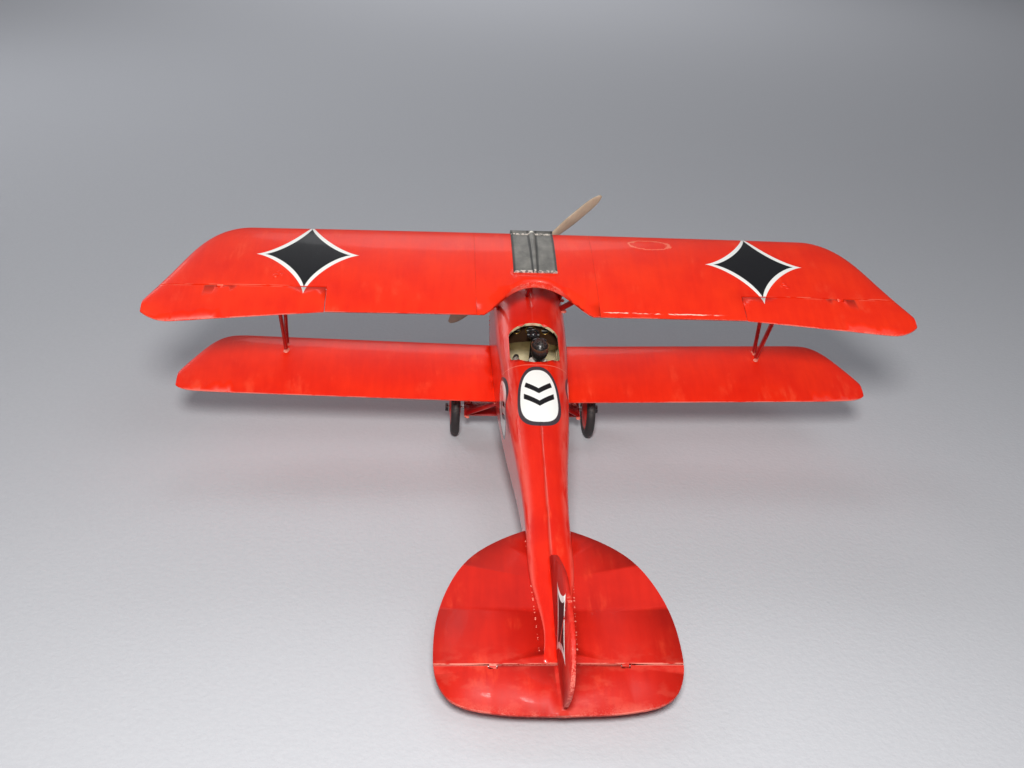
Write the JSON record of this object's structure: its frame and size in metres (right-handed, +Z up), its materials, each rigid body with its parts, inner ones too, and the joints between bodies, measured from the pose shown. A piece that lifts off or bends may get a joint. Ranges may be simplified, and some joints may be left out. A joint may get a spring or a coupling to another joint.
{
  "type": "propeller plane model",
  "caption": "Small-scale biplane model with a V-strutted wing cell, open cockpit and pilot, propeller, turning wheels and hinged control surfaces.",
  "frame": {"origin": "on the ground plane, under the middle of the outline, with the wheels and the tail skid on the ground", "axes": "+X towards the pilot's left along the span, +Y from nose to tail, +Z up"},
  "size_m": [0.187, 0.1534, 0.0639],
  "materials": {
    "red_paint": "brushed gloss enamel on moulded plastic",
    "bare_plastic": "unpainted moulded plastic",
    "cream_plastic": "satin cream plastic",
    "seat_leather": "satin paint over moulded padding",
    "flying_suit": "matt paint over moulded folds",
    "flying_helmet": "satin black paint",
    "grey_paint": "matt grey enamel",
    "dark_metal_paint": "semi-gloss gunmetal enamel",
    "black_rubber": "matt black",
    "steel_wire": "drawn wire",
    "brass_bush": "turned"
  },
  "bodies": {
    "airframe": {"axle": "steel_wire", "axle_caps": "red_paint", "axle_fairing": "red_paint", "cabane_strut_front_left": "red_paint", "cabane_strut_front_right": "red_paint", "cabane_strut_rear_left": "red_paint", "cabane_strut_rear_right": "red_paint", "camshaft_housing": "dark_metal_paint", "cockpit_floor": "bare_plastic", "control_column": "dark_metal_paint", "crankcase": "dark_metal_paint", "cylinders": "dark_metal_paint", "engine_bearers": "dark_metal_paint", "exhaust_manifold": "dark_metal_paint", "fin": "red_paint", "firewall": "bare_plastic", "fuselage_left": "red_paint", "fuselage_right": "red_paint", "gear_leg_front_left": "red_paint", "gear_leg_front_right": "red_paint", "gear_leg_rear_left": "red_paint", "gear_leg_rear_right": "red_paint", "gun_left": "dark_metal_paint", "gun_right": "dark_metal_paint", "hinge_pins": "steel_wire", "instrument_panel": "bare_plastic", "interplane_strut_front_left": "red_paint", "interplane_strut_front_right": "red_paint", "interplane_strut_rear_left": "red_paint", "interplane_strut_rear_right": "red_paint", "lower_wing_left": "red_paint", "lower_wing_right": "red_paint", "nose_bulkhead": "bare_plastic", "pilot_body": "flying_suit", "pilot_head": "flying_helmet", "radiator": "grey_paint", "radiator_pipe": "red_paint", "rudder_bar": "dark_metal_paint", "seat": "seat_leather", "shaft_bush": "brass_bush", "tail_skid": "red_paint", "tailplane_left": "red_paint", "tailplane_right": "red_paint", "upper_wing_centre": "red_paint", "upper_wing_left": "red_paint", "upper_wing_right": "red_paint", "ventral_fin": "red_paint"},
    "propeller_unit": {"propeller": "cream_plastic", "spinner": "red_paint", "spinner_plate": "red_paint", "prop_shaft": "steel_wire", "shaft_collar": "steel_wire"},
    "left_wheel": {"tyre_left": "black_rubber", "wheel_disc_left": "red_paint"},
    "right_wheel": {"tyre_right": "black_rubber", "wheel_disc_right": "red_paint"},
    "left_aileron": {"aileron_left": "red_paint"},
    "right_aileron": {"aileron_right": "red_paint"},
    "elevator_flap": {"elevator": "red_paint"},
    "rudder_flap": {"rudder": "red_paint"}
  },
  "joints": [
    {"name": "propeller_spin", "type": "hinge", "parent": "airframe", "child": "propeller_unit", "pos_m": [0, -0.07062, 0.04177], "axis": [0, 0.9659, -0.2588], "continuous": true},
    {"name": "left_wheel_spin", "type": "hinge", "parent": "airframe", "child": "left_wheel", "pos_m": [0.0186, -0.04543, 0.0079], "axis": [1, 0, 0], "continuous": true},
    {"name": "right_wheel_spin", "type": "hinge", "parent": "airframe", "child": "right_wheel", "pos_m": [-0.0186, -0.04543, 0.0079], "axis": [1, 0, 0], "continuous": true},
    {"name": "left_aileron_hinge", "type": "hinge", "parent": "airframe", "child": "left_aileron", "pos_m": [0.0528, -0.02512, 0.05051], "axis": [1, -0.0011, -0.004], "range_deg": [-20, 20]},
    {"name": "right_aileron_hinge", "type": "hinge", "parent": "airframe", "child": "right_aileron", "pos_m": [-0.0528, -0.02512, 0.05051], "axis": [1, 0.0011, 0.004], "range_deg": [-20, 20]},
    {"name": "elevator_hinge", "type": "hinge", "parent": "airframe", "child": "elevator_flap", "pos_m": [0, 0.06025, 0.00784], "axis": [1, 0, 0], "range_deg": [-20, 10]},
    {"name": "rudder_hinge", "type": "hinge", "parent": "airframe", "child": "rudder_flap", "pos_m": [0, 0.06159, 0.0167], "axis": [0, 0.2588, 0.9659], "range_deg": [-25, 25]}
  ]
}
